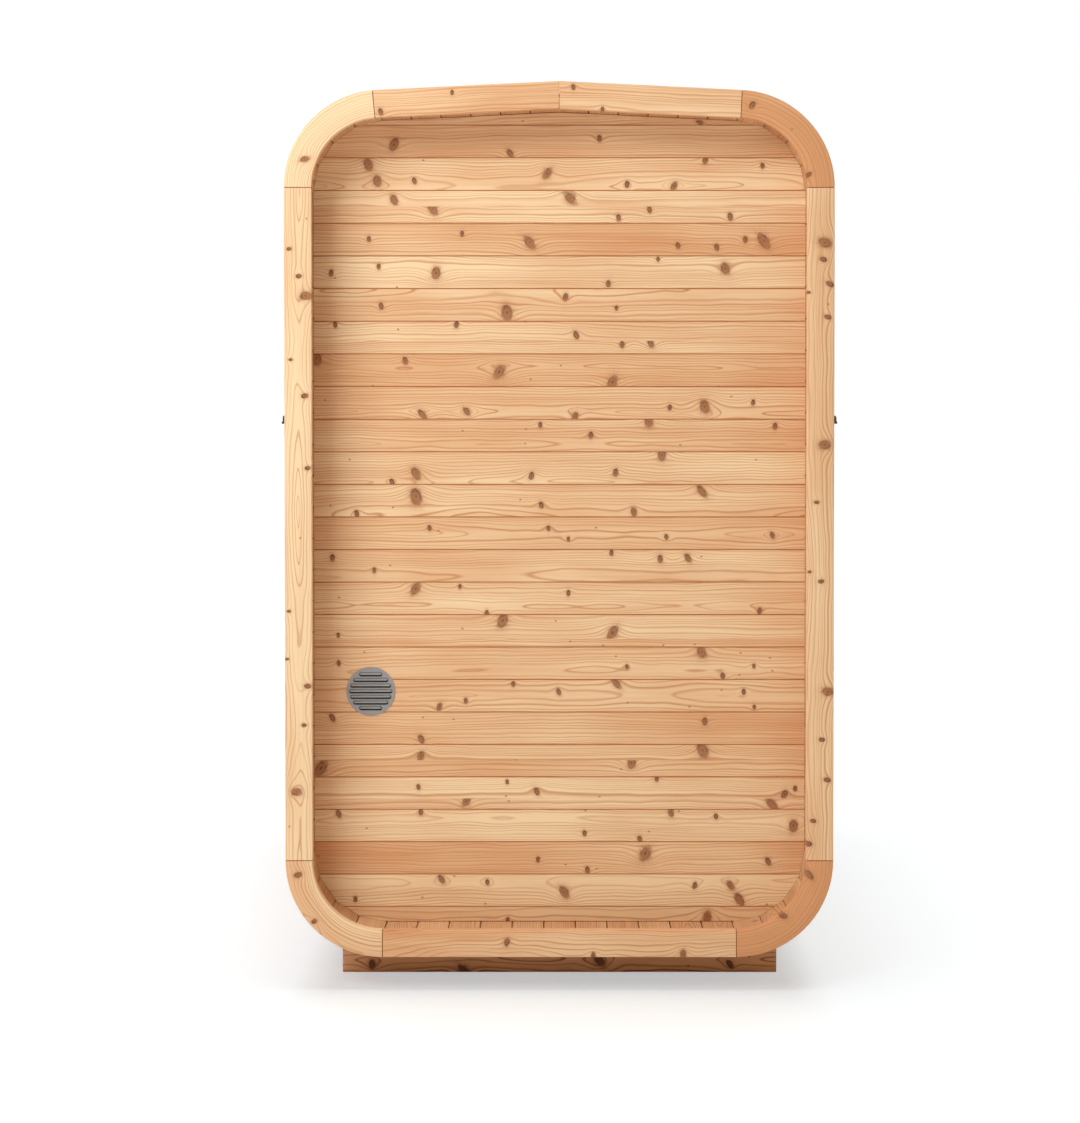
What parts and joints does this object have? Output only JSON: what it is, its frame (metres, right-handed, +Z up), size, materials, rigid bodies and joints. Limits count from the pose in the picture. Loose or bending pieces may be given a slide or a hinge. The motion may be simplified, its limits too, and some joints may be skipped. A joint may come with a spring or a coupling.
{
  "type": "square sauna",
  "caption": "Small outdoor sauna with a rounded-square shell of timber staves, flat trim rings, recessed board end walls, a round vent, a plain door and dark bearers.",
  "frame": {"origin": "on the ground, under the middle of the shell", "axes": "+Z up, -Y out of the plain back end that has the vent, +Y out of the door end, +X to the right seen from the back"},
  "size_m": [1.3684, 2, 2.1861],
  "materials": {
    "stave_wood": "planed spruce, unfinished",
    "ring_wood": "planed spruce, unfinished",
    "board_wood": "planed knotty spruce, unfinished",
    "door_wood": "planed spruce, unfinished",
    "bearer_wood": "brown impregnated spruce",
    "black_steel": "black powder coat",
    "grille_metal": "matt grey coat",
    "sleeve_plastic": "matt grey"
  },
  "bodies": {
    "root": {"floor": "stave_wood", "left_wall": "stave_wood", "right_wall": "stave_wood", "roof_left": "stave_wood", "roof_right": "stave_wood", "corner_bottom_left": "stave_wood", "corner_bottom_right": "stave_wood", "corner_top_left": "stave_wood", "corner_top_right": "stave_wood", "back_ring_bottom": "ring_wood", "back_ring_left": "ring_wood", "back_ring_right": "ring_wood", "back_ring_top_left": "ring_wood", "back_ring_top_right": "ring_wood", "back_ring_corner_bottom_left": "ring_wood", "back_ring_corner_bottom_right": "ring_wood", "back_ring_corner_top_left": "ring_wood", "back_ring_corner_top_right": "ring_wood", "front_ring_bottom": "ring_wood", "front_ring_left": "ring_wood", "front_ring_right": "ring_wood", "front_ring_top_left": "ring_wood", "front_ring_top_right": "ring_wood", "front_ring_corner_bottom_left": "ring_wood", "front_ring_corner_bottom_right": "ring_wood", "front_ring_corner_top_left": "ring_wood", "front_ring_corner_top_right": "ring_wood", "back_wall": "board_wood", "front_wall_left": "board_wood", "front_wall_right": "board_wood", "front_wall_over_door": "board_wood", "door_sill": "door_wood", "door_jambs": "door_wood", "door_head": "door_wood", "door_leaf": "door_wood", "door_handles": "door_wood", "door_hinges": "black_steel", "back_band": "black_steel", "front_band": "black_steel", "band_clamps": "black_steel", "vent_grille": "grille_metal", "vent_sleeve": "sleeve_plastic", "bearer_back": "bearer_wood", "bearer_middle": "bearer_wood", "bearer_front": "bearer_wood"}
  },
  "joints": []
}
